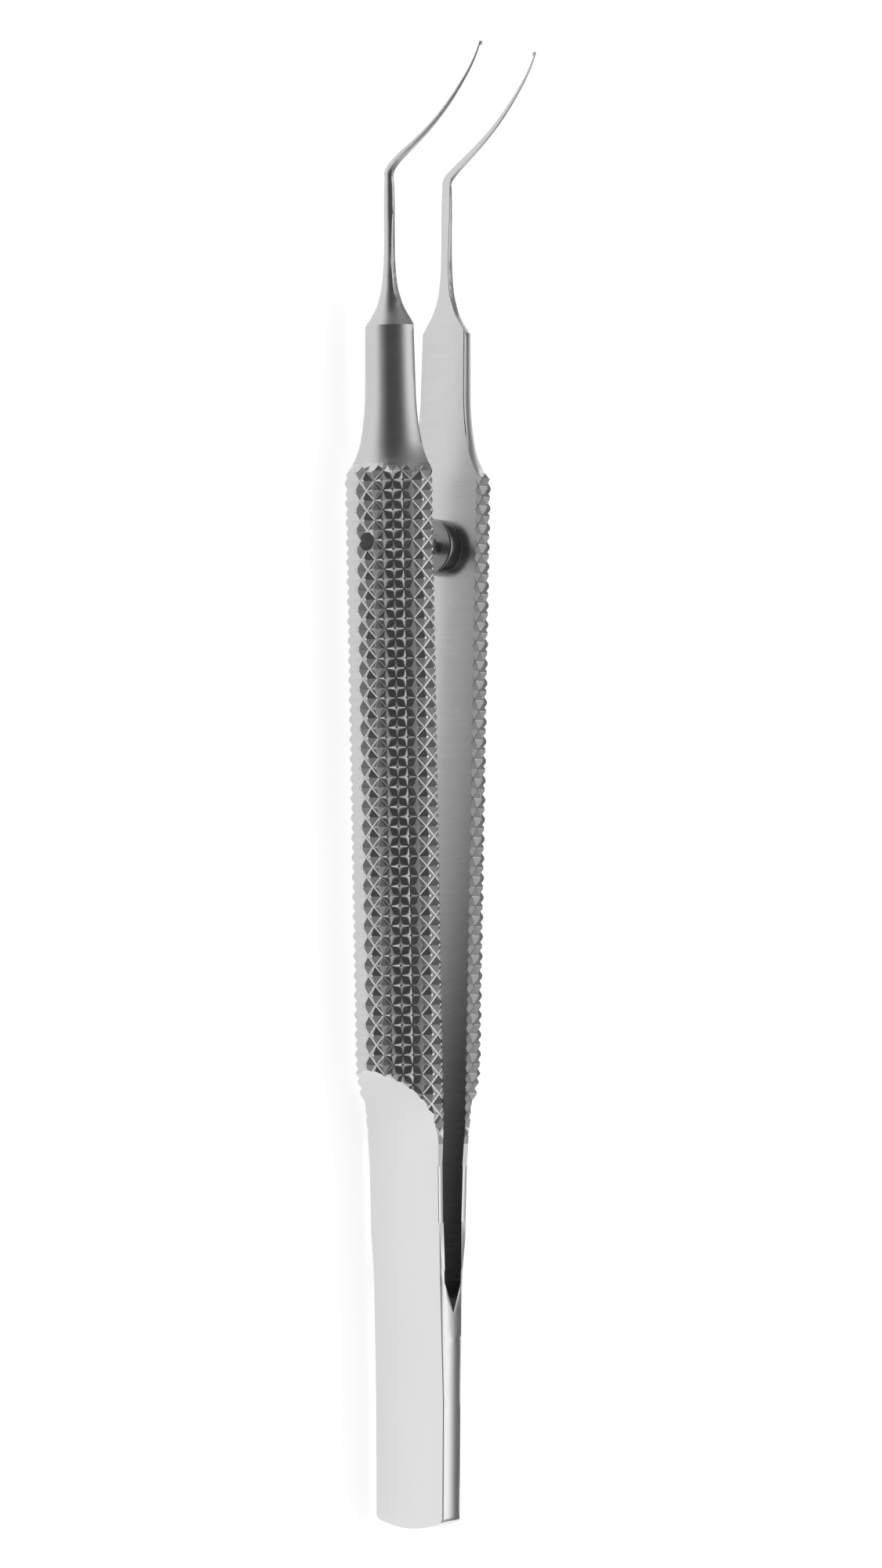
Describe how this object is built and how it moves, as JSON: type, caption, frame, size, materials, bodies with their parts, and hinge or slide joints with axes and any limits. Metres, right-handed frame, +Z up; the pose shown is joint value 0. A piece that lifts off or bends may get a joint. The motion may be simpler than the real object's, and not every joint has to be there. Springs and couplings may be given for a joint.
{
  "type": "capsulorhexis forceps",
  "caption": "Slender spring forceps for eye surgery: knurled half-round arms, leaf-spring heel, guide pin with stop collar, and fine angled curved tips.",
  "frame": {"origin": "below the middle of the whole forceps, on the surface that it lies on", "axes": "+X along the instrument from the heel to the tips, +Y from the far arm to the near arm, +Z up, the way the tips bend"},
  "size_m": [0.1086, 0.0128, 0.0124],
  "materials": {
    "heel_steel": "satin ground flats, polished edges",
    "arm_steel": "satin, cut diamond knurl",
    "pin_steel": "turned and polished"
  },
  "bodies": {
    "heel": {"heel": "heel_steel"},
    "near_arm": {"near_arm": "arm_steel"},
    "far_arm": {"far_arm": "arm_steel", "guide_pin": "pin_steel"}
  },
  "joints": [
    {"name": "near_leaf_flex", "type": "hinge", "parent": "heel", "child": "near_arm", "pos_m": [-0.03185, 0.00104, 0.00374], "axis": [0, 0, -1], "range_deg": [0, 2], "stiffness_Nm_per_rad": 1.1},
    {"name": "far_leaf_flex", "type": "hinge", "parent": "heel", "child": "far_arm", "pos_m": [-0.03185, -0.00104, 0.00374], "axis": [0, 0, 1], "range_deg": [0, 2], "stiffness_Nm_per_rad": 1.1}
  ]
}
